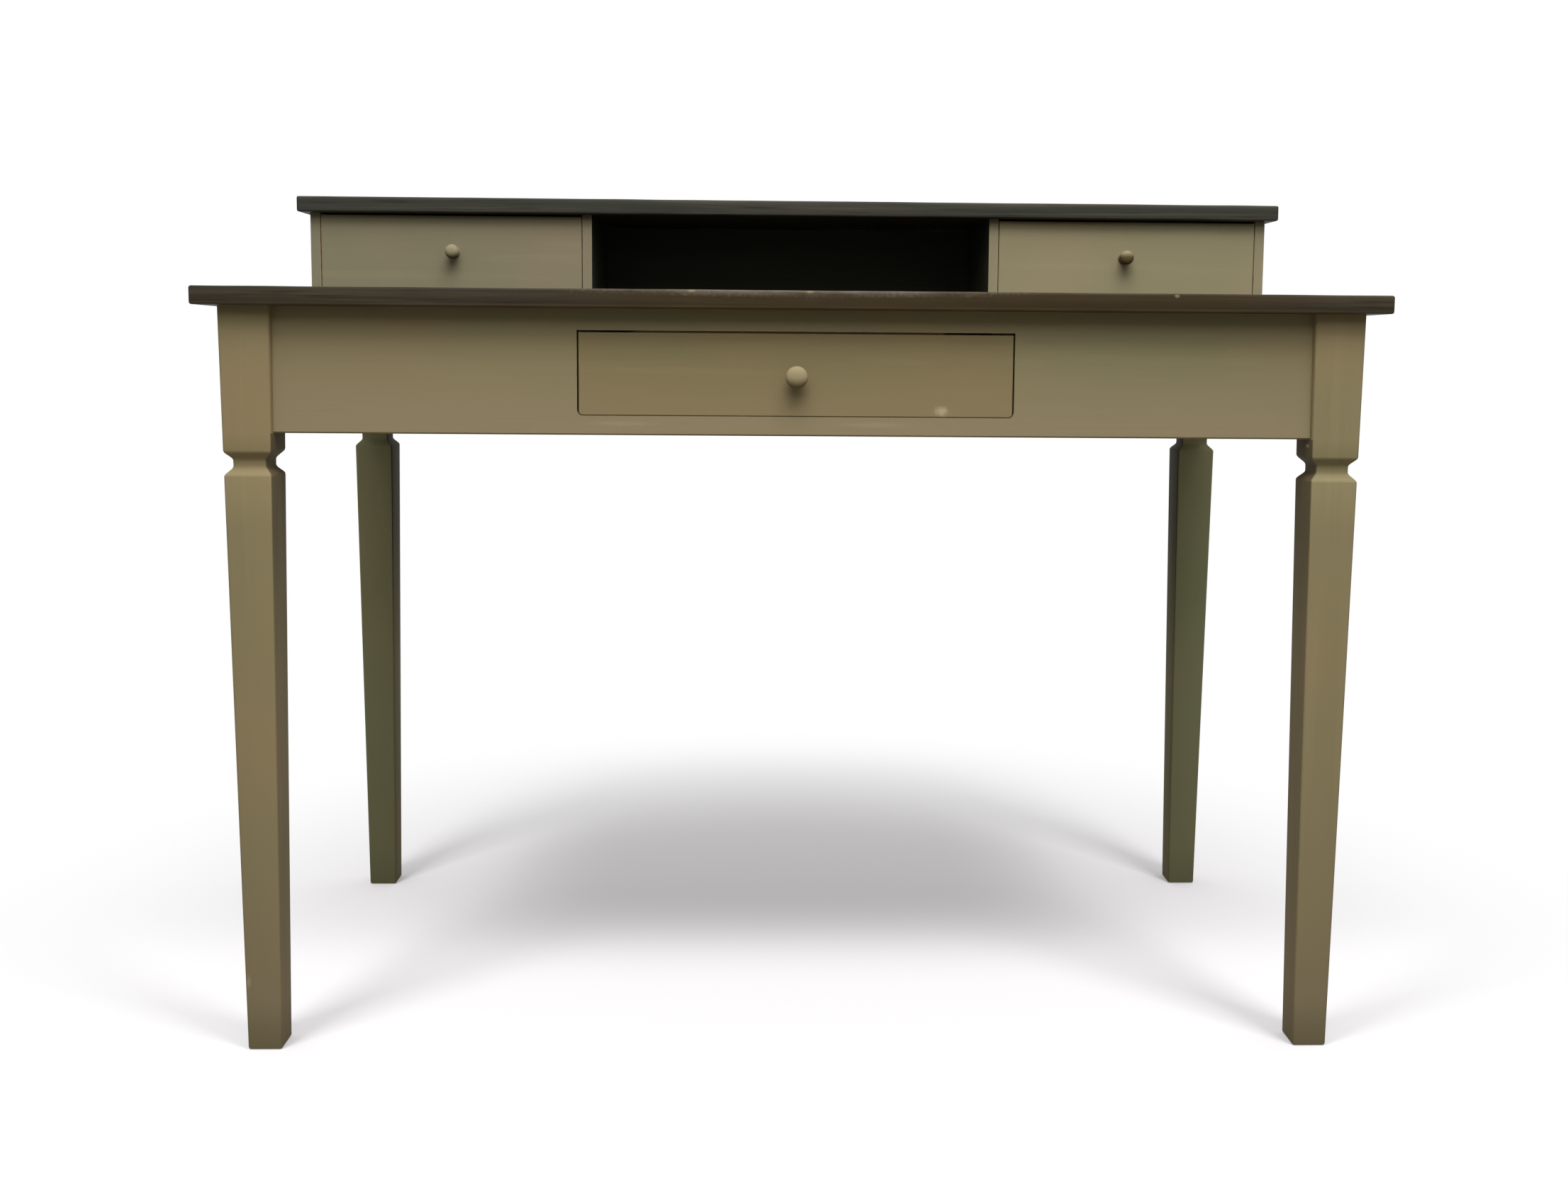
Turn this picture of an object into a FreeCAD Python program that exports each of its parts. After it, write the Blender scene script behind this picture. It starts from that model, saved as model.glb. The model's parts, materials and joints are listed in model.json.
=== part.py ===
import FreeCAD, Part
import math
import os

# Painted writing desk with a low gallery along its back edge.
# Millimetres, +Z up, the front faces -Y and +X is to the right of someone looking at the front.
# The origin is on the floor, under the middle of the desk top.

# Desk top
top_width = 1154.0
top_depth = 570.0
top_thickness = 18.0
top_edge_ease = 1.5
desk_height = 764.0
top_side_overhang = 20.0
top_front_overhang = 18.0
top_back_overhang = 12.0

# Legs: one straight square taper from top to foot, with a chamfered neck cut all round
leg_top_width = 50.0
leg_foot_width = 34.0
leg_edge_ease = 2.0
foot_ease = 1.5
block_below_apron = 18.5
neck_chamfer_height = 7.0
neck_chamfer_depth = 7.0
neck_straight_height = 8.5

# Aprons, tenoned into the legs
apron_height = 123.0
apron_thickness = 20.0
apron_setback = 9.0
apron_edge_ease = 1.5
tenon_thickness = 8.0
tenon_shoulder = 12.0
tenon_root = 6.0
mortise_wall = 2.0
mortise_end_gap = 1.0

# Corner blocks glued behind the legs
corner_block_thickness = 22.0
corner_block_height = 40.0
corner_block_gap = 1.0

# Opening for the centre drawer in the front apron
centre_opening_width = 428.0
centre_opening_height = 83.0
upper_rail_height = 21.0
opening_corner_radius = 5.5

# What carries the centre drawer: runners below, guides beside, kickers above, stops behind
runner_height = 19.0
runner_lip = 8.0
guide_width = 14.0
guide_height = 24.0
guide_clearance = 0.4
kicker_clearance = 0.6
stop_length = 60.0
stop_height = 18.0
stop_clearance = 0.3

# Drawer boxes: dovetailed fronts, grooved-in bottoms, housed backs
centre_side_gap = 1.6
gallery_side_gap = 1.0
front_top_gap = 2.0
front_bottom_gap = 0.8
slide_clearance = 0.3
drawer_edge_ease = 0.8
tail_count = 3
tail_tip_width = 14.0
tail_slope = 1.0 / 6.0
tail_lap = 6.0
groove_depth = 4.0
groove_height = 6.0
tongue_depth = 5.0
back_drop = 6.0
back_inset = 8.0

centre_front_thickness = 18.0
centre_side_thickness = 10.0
centre_bottom_thickness = 5.0
centre_side_drop = 3.0

gallery_front_thickness = 15.0
gallery_drawer_side_thickness = 8.0
gallery_drawer_bottom_thickness = 4.0
gallery_side_drop = 7.0

# Gallery
gallery_top_depth = 217.5
gallery_top_thickness = 18.0
gallery_body_height = 100.0
gallery_side_overhang = 12.0
gallery_front_overhang = 14.0
gallery_back_overhang = 5.0
gallery_board = 11.0
gallery_bottom_thickness = 12.0
gallery_bottom_rabbet = 4.0
gallery_back_thickness = 6.0
gallery_back_rabbet = 5.0
compartment_width = 471.0
partition_housing = 3.0

# Turned knobs: collar, waisted neck and a full round head, turned in short straight cuts
centre_knob_radius = 11.0
gallery_knob_radius = 8.5
centre_knob_drop = 2.0
gallery_knob_shift = 3.0
knob_length = 21.0
knob_head_length = 14.0
knob_head_fullness = 2.5
knob_collar_radius = 7.0
knob_collar_length = 1.5
knob_neck_radius = 4.8
knob_neck_slope_length = 2.5
knob_head_cuts = 4

# Wood screws and dowels, kept to few sides because they repeat
fastener_sides = 8
screw_radius = 2.0
screw_head_radius = 4.0
screw_head_height = 2.4
screw_hole_clearance = 0.2
pilot_end_gap = 0.5
top_screw_bite = 11.0
gallery_screw_bite = 8.0
gallery_screw_inset = 120.0
knob_screw_bite = 12.0
dowel_radius = 3.0
dowel_length = 24.0
dowel_rise = 10.0
dowel_inset = 35.0
dowel_clearance = 0.1
dowel_end_gap = 0.5

# Levels and planes that follow from the sizes above
top_front_y = -top_depth / 2
top_back_y = top_depth / 2
top_underside = desk_height - top_thickness
apron_bottom = top_underside - apron_height
leg_x = top_width / 2 - top_side_overhang - leg_top_width / 2
leg_front_y = top_front_y + top_front_overhang + leg_top_width / 2
leg_rear_y = top_back_y - top_back_overhang - leg_top_width / 2

front_face_y = leg_front_y - leg_top_width / 2 + apron_setback
front_inner_y = front_face_y + apron_thickness
rear_face_y = leg_rear_y + leg_top_width / 2 - apron_setback
rear_inner_y = rear_face_y - apron_thickness
side_face_x = leg_x + leg_top_width / 2 - apron_setback
side_inner_x = side_face_x - apron_thickness
tenon_centre = apron_setback + apron_thickness / 2
tenon_reach = leg_top_width - tenon_centre - tenon_thickness / 2 - mortise_wall - mortise_end_gap

opening_half = centre_opening_width / 2
opening_top = top_underside - upper_rail_height
opening_bottom = opening_top - centre_opening_height
centre_side_outer = opening_half - centre_side_gap
centre_side_top = opening_top - centre_side_drop
centre_drawer_end = rear_inner_y - stop_length - stop_clearance
guide_inner = centre_side_outer + guide_clearance
guide_outer = guide_inner + guide_width
runner_inner = centre_side_outer - centre_side_thickness - runner_lip

gallery_underside = desk_height + gallery_body_height
gallery_edge_y = top_back_y - gallery_top_depth
gallery_face_y = gallery_edge_y + gallery_front_overhang
gallery_rear_y = top_back_y - gallery_back_overhang
gallery_back_y = gallery_rear_y - gallery_back_thickness
gallery_outer = top_width / 2 - gallery_side_overhang
gallery_inner = gallery_outer - gallery_board
gallery_floor = desk_height + gallery_bottom_thickness
partition_inner = compartment_width / 2
partition_outer = partition_inner + gallery_board

SIDES = (("left", -1), ("right", 1))
UP = FreeCAD.Vector(0, 0, 1)
FORWARD = FreeCAD.Vector(0, -1, 0)


def block(x_range, y_range, z_range):
    """A box between two values on each axis, given in either order."""
    x0, x1 = sorted(x_range)
    y0, y1 = sorted(y_range)
    z0, z1 = sorted(z_range)
    return Part.makeBox(x1 - x0, y1 - y0, z1 - z0, FreeCAD.Vector(x0, y0, z0))


def prism(points, direction):
    """A closed outline pushed along a direction."""
    outline = Part.makePolygon(points + points[:1])
    return Part.Face(outline).extrude(direction)


def edges_at(shape, test):
    """Edges whose end points all pass a test."""
    return [edge for edge in shape.Edges if all(test(v.Point) for v in edge.Vertexes)]


def near(a, b):
    return abs(a - b) < 1e-6


def eased_board(x_range, y_range, z_range, ease):
    """A board with every edge taken off a little."""
    board = block(x_range, y_range, z_range)
    return board.makeChamfer(ease, board.Edges)


def turned(outline, base, direction):
    """Revolve a closed outline of (radius, height) points, then stand it on base along a direction."""
    points = [FreeCAD.Vector(radius, 0, height) for radius, height in outline]
    wire = Part.makePolygon(points + points[:1])
    solid = Part.Face(wire).revolve(FreeCAD.Vector(0, 0, 0), UP, 360)
    solid.Placement = FreeCAD.Placement(base, FreeCAD.Rotation(UP, direction))
    return solid


def rod(radius, base, direction, length):
    """A straight rod with few flat sides, standing on base along a direction."""
    ring = []
    for i in range(fastener_sides):
        spin = FreeCAD.Rotation(UP, 360 * (i + 0.5) / fastener_sides)
        ring.append(spin.multVec(FreeCAD.Vector(radius, 0, 0)))
    solid = prism(ring, UP * length)
    solid.Placement = FreeCAD.Placement(base, FreeCAD.Rotation(UP, direction))
    return solid


def screw(seat, direction, length):
    """A wood screw whose head sits on seat and whose plain shank runs along direction."""
    head = rod(screw_head_radius, seat, direction * -1, screw_head_height)
    return head.fuse(rod(screw_radius, seat, direction, length))


def screw_hole(seat, direction, length):
    """The hole for such a screw, a little wider and longer than the shank."""
    return rod(screw_radius + screw_hole_clearance, seat, direction, length + pilot_end_gap)


def leg_half(z):
    """Half the leg's width at a height, on the straight taper from foot to top."""
    taper = (leg_top_width - leg_foot_width) / top_underside
    return (leg_foot_width + taper * z) / 2


def eased_square(half, z):
    """The corners of a square with its own corners cut off, centred on the Z axis."""
    flat = half - leg_edge_ease
    corners = []
    for turn in range(4):
        spin = FreeCAD.Rotation(UP, 90 * turn)
        corners.append(spin.multVec(FreeCAD.Vector(half, -flat, z)))
        corners.append(spin.multVec(FreeCAD.Vector(half, flat, z)))
    return corners


def stacked(rings):
    """A solid with flat faces between rings of points at rising heights."""
    faces = [Part.Face(Part.makePolygon(ring + ring[:1])) for ring in (rings[0], rings[-1])]
    for low, high in zip(rings, rings[1:]):
        for i in range(len(low)):
            j = (i + 1) % len(low)
            faces.append(Part.Face(Part.makePolygon([low[i], low[j], high[j], high[i], low[i]])))
    return Part.Solid(Part.Shell(faces))


def plain_leg(x, y):
    """A whole leg before its mortises are cut."""
    block_end = apron_bottom - block_below_apron
    neck_top = block_end - neck_chamfer_height
    neck_bottom = neck_top - neck_straight_height
    shaft_top = neck_bottom - neck_chamfer_height
    sections = [
        (0, leg_half(0) - foot_ease),
        (foot_ease, leg_half(foot_ease)),
        (shaft_top, leg_half(shaft_top)),
        (neck_bottom, leg_half(neck_bottom) - neck_chamfer_depth),
        (neck_top, leg_half(neck_top) - neck_chamfer_depth),
        (block_end, leg_half(block_end)),
        (top_underside, leg_half(top_underside)),
    ]
    leg = stacked([eased_square(half, z) for z, half in sections])
    leg.translate(FreeCAD.Vector(x, y, 0))
    return leg


def tenon_x(sx, y_centre, extra):
    """The tenon of a front or rear apron at one end; extra lengthens it into a mortise."""
    shoulder = leg_x - leg_top_width / 2
    return block(
        (sx * (shoulder - tenon_root), sx * (shoulder + tenon_reach + extra)),
        (y_centre - tenon_thickness / 2, y_centre + tenon_thickness / 2),
        (apron_bottom + tenon_shoulder, top_underside - tenon_shoulder),
    )


def tenon_y(sx, leg_y, inward, extra):
    """The tenon of a side apron at one leg; inward is the way from that leg to the desk's middle."""
    x_centre = sx * (side_face_x - apron_thickness / 2)
    shoulder = leg_y + inward * leg_top_width / 2
    return block(
        (x_centre - tenon_thickness / 2, x_centre + tenon_thickness / 2),
        (shoulder + inward * tenon_root, shoulder - inward * (tenon_reach + extra)),
        (apron_bottom + tenon_shoulder, top_underside - tenon_shoulder),
    )


def apron_board(x_range, y_range, on_face):
    """An apron before it is cut to the legs, with its lower outer edge eased."""
    board = block(x_range, y_range, (apron_bottom, top_underside))
    lower = edges_at(board, lambda p: near(p.z, apron_bottom) and on_face(p))
    return board.makeChamfer(apron_edge_ease, lower)


def round_bottomed(x_half, y_range, z_range, radius):
    """A panel with square upper corners and rounded lower corners, centred on x = 0."""
    panel = block((-x_half, x_half), y_range, z_range)
    corners = edges_at(panel, lambda p: near(p.z, min(z_range)))
    along_y = [e for e in corners if near(e.Vertexes[0].X, e.Vertexes[1].X)]
    return panel.makeFillet(radius, along_y)


def ease_front(panel, y_face):
    """Take off the edges round the front face of a drawer front."""
    rim = edges_at(panel, lambda p: near(p.y, y_face))
    return panel.makeChamfer(drawer_edge_ease, rim)


def build_knob(centre, knob_radius):
    """A turned knob on a drawer front, drilled for its screw."""
    half_length = knob_head_length / 2
    head_at = knob_length - half_length
    bulge = 2 / knob_head_fullness
    neck_angle = math.asin((knob_neck_radius / knob_radius) ** (1 / bulge))
    outline = [
        (0, 0),
        (knob_collar_radius, 0),
        (knob_collar_radius, knob_collar_length),
        (knob_neck_radius, knob_collar_length + knob_neck_slope_length),
    ]
    for cut in range(knob_head_cuts):
        angle = neck_angle + (math.pi - neck_angle) * cut / knob_head_cuts
        reach = math.copysign(abs(math.cos(angle)) ** bulge, math.cos(angle))
        outline.append((knob_radius * math.sin(angle) ** bulge, head_at - half_length * reach))
    outline.append((0, knob_length))
    return turned(outline, centre, FORWARD).cut(screw_hole(centre, FORWARD, knob_screw_bite))


def dovetails(x_range, y_root, y_tip, z_range):
    """The row of tails on the front end of a drawer side."""
    z0, z1 = z_range
    pitch = (z1 - z0) / tail_count
    root_width = tail_tip_width - 2 * tail_slope * (y_root - y_tip)
    tails = []
    for i in range(tail_count):
        z = z0 + (i + 0.5) * pitch
        outline = [
            FreeCAD.Vector(min(x_range), y_root, z - root_width / 2),
            FreeCAD.Vector(min(x_range), y_tip, z - tail_tip_width / 2),
            FreeCAD.Vector(min(x_range), y_tip, z + tail_tip_width / 2),
            FreeCAD.Vector(min(x_range), y_root, z + root_width / 2),
        ]
        tails.append(prism(outline, FreeCAD.Vector(max(x_range) - min(x_range), 0, 0)))
    return tails


def build_drawer(name, half, side_gap, y_range, z_range, thick, side_drop, radius, knob):
    """One drawer, centred on x = 0, for an opening of the given half width and height."""
    front_thickness, side_thickness, bottom_thickness = thick
    y_face, y_end = y_range
    floor, ceiling = z_range
    front_half = half - side_gap
    inner_half = front_half - side_thickness
    front_bottom = floor + front_bottom_gap
    front_top = ceiling - front_top_gap
    side_bottom = floor + slide_clearance
    side_top = ceiling - side_drop
    y_root = y_face + front_thickness
    y_tip = y_face + tail_lap
    back_rear = y_end - back_inset
    groove_bottom = side_bottom + groove_height
    groove_top = groove_bottom + bottom_thickness
    housed_half = inner_half + groove_depth

    bottom = block((-housed_half, housed_half), (y_root, back_rear), (groove_bottom, groove_top))
    tongue = block((-inner_half, inner_half), (y_root - tongue_depth, y_root), (groove_bottom, groove_top))
    bottom = bottom.fuse(tongue).removeSplitter()
    back = block(
        (-housed_half, housed_half),
        (back_rear - side_thickness, back_rear),
        (groove_top, side_top - back_drop),
    )

    y_front = (y_face, y_root)
    z_front = (front_bottom, front_top)
    if radius > side_gap:
        front = round_bottomed(front_half, y_front, z_front, radius - side_gap)
    else:
        front = block((-front_half, front_half), y_front, z_front)
    front = ease_front(front, y_face).cut(bottom)

    pieces = {}
    for side, sx in SIDES:
        x_range = (sx * inner_half, sx * front_half)
        board = block(x_range, (y_root, y_end), (side_bottom, side_top))
        if radius > 0:
            outer = sx * front_half
            lower = edges_at(board, lambda p: near(p.z, side_bottom) and near(p.x, outer))
            board = board.makeFillet(radius, lower)
        tails = dovetails(x_range, y_root, y_tip, (front_bottom, side_top))
        front = front.cut(Part.makeCompound(tails))
        board = board.fuse(tails).removeSplitter()
        pieces[name + "_side_" + side] = board.cut(bottom).cut(back)

    knob_radius, knob_shift, knob_drop = knob
    knob_z = (front_bottom + front_top) / 2 - knob_drop
    knob_seat = FreeCAD.Vector(knob_shift, y_face, knob_z)
    screw_seat = FreeCAD.Vector(knob_shift, y_root, knob_z)
    screw_length = front_thickness + knob_screw_bite
    pieces[name + "_front"] = front.cut(screw_hole(screw_seat, FORWARD, front_thickness))
    pieces[name + "_back"] = back
    pieces[name + "_bottom"] = bottom
    pieces[name + "_knob"] = build_knob(knob_seat, knob_radius)
    pieces[name + "_knob_screw"] = screw(screw_seat, FORWARD, screw_length)
    return pieces


def build_frame():
    """Legs and aprons, with their mortises and tenons, and the blocks in the corners."""
    nodes = {}
    stations = (("front", leg_front_y, 1), ("rear", leg_rear_y, -1))
    legs = {}
    for place, y, inward in stations:
        for side, sx in SIDES:
            legs[place, side] = plain_leg(sx * leg_x, y)

    whole_x = (-leg_x, leg_x)
    whole_y = (leg_front_y, leg_rear_y)
    faces = {"front": (front_face_y, front_inner_y), "rear": (rear_face_y, rear_inner_y)}
    for place, (face, inner) in faces.items():
        apron = apron_board(whole_x, (face, inner), lambda p: near(p.y, face))
        for side, sx in SIDES:
            apron = apron.cut(legs[place, side])
        for side, sx in SIDES:
            apron = apron.fuse(tenon_x(sx, (face + inner) / 2, 0))
        nodes[place + "_apron"] = apron.removeSplitter()
    opening = round_bottomed(opening_half, faces["front"], (opening_bottom, opening_top), opening_corner_radius)
    nodes["front_apron"] = nodes["front_apron"].cut(opening)

    for side, sx in SIDES:
        face = sx * side_face_x
        apron = apron_board((face, sx * side_inner_x), whole_y, lambda p: near(p.x, face))
        for place, y, inward in stations:
            apron = apron.cut(legs[place, side])
        for place, y, inward in stations:
            apron = apron.fuse(tenon_y(sx, y, inward, 0))
        nodes["side_apron_" + side] = apron.removeSplitter()

    for place, y, inward in stations:
        face, inner = faces[place]
        for side, sx in SIDES:
            leg = legs[place, side].cut(tenon_x(sx, (face + inner) / 2, mortise_end_gap))
            leg = leg.cut(tenon_y(sx, y, inward, mortise_end_gap))
            nodes["leg_" + place + "_" + side] = leg
    return nodes


def build_corner_blocks():
    """A mitred block behind each leg, with the screw that goes up through it into the top."""
    nodes = {}
    screws = []
    holes = []
    leg_inside = leg_top_width - apron_setback - apron_thickness
    short = 2 * leg_inside + corner_block_gap * math.sqrt(2)
    long = short + corner_block_thickness * math.sqrt(2)
    seat_z = top_underside - corner_block_height
    length = corner_block_height + top_screw_bite
    for place, y, inward in (("front", front_inner_y, 1), ("rear", rear_inner_y, -1)):
        for side, sx in SIDES:
            x = sx * side_inner_x
            outline = [
                FreeCAD.Vector(x - sx * short, y, seat_z),
                FreeCAD.Vector(x - sx * long, y, seat_z),
                FreeCAD.Vector(x, y + inward * long, seat_z),
                FreeCAD.Vector(x, y + inward * short, seat_z),
            ]
            middle = (short + long) / 4
            seat = FreeCAD.Vector(x - sx * middle, y + inward * middle, seat_z)
            hole = screw_hole(seat, UP, length)
            solid = prism(outline, UP * corner_block_height)
            nodes["corner_block_" + place + "_" + side] = solid.cut(hole)
            screws.append(screw(seat, UP, length))
            holes.append(hole)
    nodes["top_screws"] = Part.makeCompound(screws)
    return nodes, holes


def build_drawer_carriers():
    """Runners, guides, kickers and stops of the centre drawer, between the two long aprons."""
    nodes = {}
    y_range = (front_inner_y, rear_inner_y)
    stop_y = centre_drawer_end + stop_clearance
    for side, sx in SIDES:
        under = (sx * runner_inner, sx * guide_outer)
        beside = (sx * guide_inner, sx * guide_outer)
        behind = (sx * runner_inner, sx * guide_inner)
        nodes["runner_" + side] = block(under, y_range, (opening_bottom - runner_height, opening_bottom))
        nodes["guide_" + side] = block(beside, y_range, (opening_bottom, opening_bottom + guide_height))
        nodes["kicker_" + side] = block(under, y_range, (centre_side_top + kicker_clearance, top_underside))
        nodes["stop_" + side] = block(
            behind,
            (stop_y, stop_y + stop_length),
            (opening_bottom, opening_bottom + stop_height),
        )
    return nodes


def build_gallery():
    """The gallery's boards, the dowels under its top and the screws that hold it to the desk."""
    nodes = {}
    y_inside = (gallery_face_y, gallery_back_y)
    back_half = gallery_inner + gallery_back_rabbet
    bottom_half = gallery_inner + gallery_bottom_rabbet
    back = block((-back_half, back_half), (gallery_back_y, gallery_rear_y), (desk_height, gallery_underside))
    bottom = block((-bottom_half, bottom_half), y_inside, (desk_height, gallery_floor))
    top = eased_board(
        (-top_width / 2, top_width / 2),
        (gallery_edge_y, top_back_y),
        (gallery_underside, gallery_underside + gallery_top_thickness),
        top_edge_ease,
    )

    uprights = {}
    dowel_x = {}
    for side, sx in SIDES:
        panel = block(
            (sx * gallery_inner, sx * gallery_outer),
            (gallery_face_y, gallery_rear_y),
            (desk_height, gallery_underside),
        )
        uprights["gallery_side_" + side] = panel.cut(back).cut(bottom)
        dowel_x["gallery_side_" + side] = sx * (gallery_inner + gallery_outer) / 2
        uprights["gallery_partition_" + side] = block(
            (sx * partition_inner, sx * partition_outer),
            y_inside,
            (gallery_floor - partition_housing, gallery_underside),
        )
        dowel_x["gallery_partition_" + side] = sx * (partition_inner + partition_outer) / 2

    dowels = []
    base_z = gallery_underside + dowel_rise - dowel_length
    for name, upright in uprights.items():
        if "partition" in name:
            bottom = bottom.cut(upright)
        for y in (gallery_face_y + dowel_inset, gallery_back_y - dowel_inset):
            base = FreeCAD.Vector(dowel_x[name], y, base_z)
            dowels.append(rod(dowel_radius, base, UP, dowel_length))
            hole_base = base - UP * dowel_end_gap
            hole_length = dowel_length + 2 * dowel_end_gap
            hole = rod(dowel_radius + dowel_clearance, hole_base, UP, hole_length)
            upright = upright.cut(hole)
            top = top.cut(hole)
        nodes[name] = upright

    screws = []
    holes = []
    length = top_thickness + gallery_screw_bite
    y_middle = (gallery_face_y + gallery_back_y) / 2
    for sx in (-1, 1):
        for x in (partition_inner - gallery_screw_inset, partition_outer + gallery_screw_inset):
            seat = FreeCAD.Vector(sx * x, y_middle, top_underside)
            hole = screw_hole(seat, UP, length)
            bottom = bottom.cut(hole)
            screws.append(screw(seat, UP, length))
            holes.append(hole)

    nodes["gallery_top"] = top
    nodes["gallery_bottom"] = bottom
    nodes["gallery_back"] = back
    nodes["gallery_dowels"] = Part.makeCompound(dowels)
    nodes["gallery_screws"] = Part.makeCompound(screws)
    return nodes, holes


def build_desk_top(holes):
    """The desk top, drilled from below for the screws that hold it and the gallery."""
    top = eased_board(
        (-top_width / 2, top_width / 2),
        (top_front_y, top_back_y),
        (top_underside, desk_height),
        top_edge_ease,
    )
    return top.cut(Part.makeCompound(holes))


def build_drawers():
    """The wide drawer in the apron and the two drawers of the gallery."""
    nodes = build_drawer(
        "centre_drawer",
        opening_half,
        centre_side_gap,
        (front_face_y, centre_drawer_end),
        (opening_bottom, opening_top),
        (centre_front_thickness, centre_side_thickness, centre_bottom_thickness),
        centre_side_drop,
        opening_corner_radius,
        (centre_knob_radius, 0, centre_knob_drop),
    )
    half = (gallery_inner - partition_outer) / 2
    middle = (gallery_inner + partition_outer) / 2
    for side, sx in SIDES:
        drawer = build_drawer(
            side + "_drawer",
            half,
            gallery_side_gap,
            (gallery_face_y, gallery_back_y - stop_clearance),
            (gallery_floor, gallery_underside),
            (gallery_front_thickness, gallery_drawer_side_thickness, gallery_drawer_bottom_thickness),
            gallery_side_drop,
            0,
            (gallery_knob_radius, -sx * gallery_knob_shift, 0),
        )
        for name, piece in drawer.items():
            piece.translate(FreeCAD.Vector(sx * middle, 0, 0))
            nodes[name] = piece
    return nodes


def build_desk():
    nodes = build_frame()
    blocks, top_holes = build_corner_blocks()
    gallery, gallery_holes = build_gallery()
    nodes.update(blocks)
    nodes.update(build_drawer_carriers())
    nodes.update(gallery)
    nodes["desk_top"] = build_desk_top(top_holes + gallery_holes)
    nodes.update(build_drawers())
    return nodes


os.makedirs("parts", exist_ok=True)
for node, shape in build_desk().items():
    shape.exportStep("parts/" + node + ".step")
    print(node, len(shape.Solids), round(shape.Volume), shape.isValid())
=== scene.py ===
import json
import math

import bmesh
import bpy
from mathutils import Matrix, Vector, noise

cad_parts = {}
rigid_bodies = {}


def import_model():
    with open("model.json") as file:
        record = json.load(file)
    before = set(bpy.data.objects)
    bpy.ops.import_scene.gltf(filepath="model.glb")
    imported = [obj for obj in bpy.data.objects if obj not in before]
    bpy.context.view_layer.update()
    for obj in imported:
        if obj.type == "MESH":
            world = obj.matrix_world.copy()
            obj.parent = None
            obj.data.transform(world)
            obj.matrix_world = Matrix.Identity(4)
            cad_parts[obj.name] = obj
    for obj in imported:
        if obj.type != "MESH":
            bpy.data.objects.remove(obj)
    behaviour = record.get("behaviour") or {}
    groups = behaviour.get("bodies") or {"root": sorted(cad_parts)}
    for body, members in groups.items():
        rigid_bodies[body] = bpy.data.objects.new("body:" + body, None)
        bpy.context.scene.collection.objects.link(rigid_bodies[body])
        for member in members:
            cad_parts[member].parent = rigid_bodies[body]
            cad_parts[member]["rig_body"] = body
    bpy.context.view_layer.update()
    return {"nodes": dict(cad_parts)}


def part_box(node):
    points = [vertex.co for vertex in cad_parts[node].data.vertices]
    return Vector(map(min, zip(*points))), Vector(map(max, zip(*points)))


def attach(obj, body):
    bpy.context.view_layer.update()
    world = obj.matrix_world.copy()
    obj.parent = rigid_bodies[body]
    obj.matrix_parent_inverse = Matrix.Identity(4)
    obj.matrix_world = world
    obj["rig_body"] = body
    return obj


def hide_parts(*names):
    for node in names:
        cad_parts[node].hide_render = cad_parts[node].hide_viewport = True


# The finish of a painted writing desk with a low gallery. The tops, legs, knobs and screws get
# rounded meshes, and the centre drawer's front one that has settled. Metres, in the frame of the
# solids: +Z up, the front faces -Y.

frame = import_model()
nodes = frame["nodes"]

# Camera, fitted to the photograph's frame
PHOTO_WIDTH = 2212
SENSOR_WIDTH = 36.0
CAMERA_FOCAL_PIXELS = 2186.6
CAMERA_SHIFT_PIXELS = (-24.4, -123.3)
CAMERA_PLACE = Vector((-0.0337, -1.7771, 0.7055))
CAMERA_YAW = 0.02592
CAMERA_PITCH = -0.09726
CAMERA_ROLL = 0.00768

# Rounding of the shown meshes
TOP_ROUND = 0.0022
TOP_STATIONS = 230
ROUND_STEPS = 4
LEG_ROUND = 0.0026
SHARP_ANGLE = math.radians(38)
WELD = 1e-6

# How squarely a face looks along an axis to count as facing that way
FACING = 0.9
LEG_FACING = 0.6

# Leg levels, from the floor up, and widths
LEG_FOOT_WIDTH = 0.034
LEG_TOP_WIDTH = 0.050
LEG_FOOT_EASE = 0.0015
LEG_FOOT_BEND = 0.3
LEG_SHAFT_STEPS = 12
NECK_SHAFT_TOP = 0.582
NECK_CHAMFER_HEIGHT = 0.007
NECK_CHAMFER_DEPTH = 0.007
NECK_STRAIGHT = 0.0085
NECK_SOFT = 0.0016
NECK_BEND = 0.25

# How far the face of the centre drawer has come down, over the lowest part of its skin
SETTLED_DROP = 0.0005
SETTLED_BAND = 0.015
SETTLED_SKIN = 0.001

# Turned knobs: collar, flared neck and a full round head. The collar's profile is in shares of its
# rounding and of its length.
KNOB_SIDES = 64
KNOB_COLLAR_RADIUS = 0.007
KNOB_COLLAR_LENGTH = 0.0015
KNOB_COLLAR_ROUND = 0.0006
KNOB_COLLAR_PROFILE = ((0, 0), (0, 0.6), (1 / 3, 0.9), (1, 1))
KNOB_NECK_RADIUS = 0.0048
KNOB_NECK_STEPS = 8
KNOB_FLARE = 0.9
KNOB_HEAD_LENGTH = 0.014
KNOB_HEAD_SEAT = 0.0005
KNOB_HEAD_FULLNESS = 2.5
KNOB_HEAD_STEPS = 31

# Screws: a pan head with a cross recess, and a plain shank. The head's bend is in shares of its
# radius and of its rounding, and a small ring closes each end.
SCREW_SIDES = 32
SCREW_HEAD_RADIUS = 0.004
SCREW_HEAD_HEIGHT = 0.0024
SCREW_HEAD_ROUND = 0.0010
SCREW_HEAD_BEND = (0.93, 0.4)
SCREW_HEAD_RINGS = 4
SCREW_SHANK_RADIUS = 0.002
SCREW_END_RADIUS = 0.0004
SCREW_TIP_LENGTH = 0.003
RECESS_RINGS = 3
RECESS_HALF_WIDTH = 0.0006
RECESS_DEPTH = 0.0012

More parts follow.
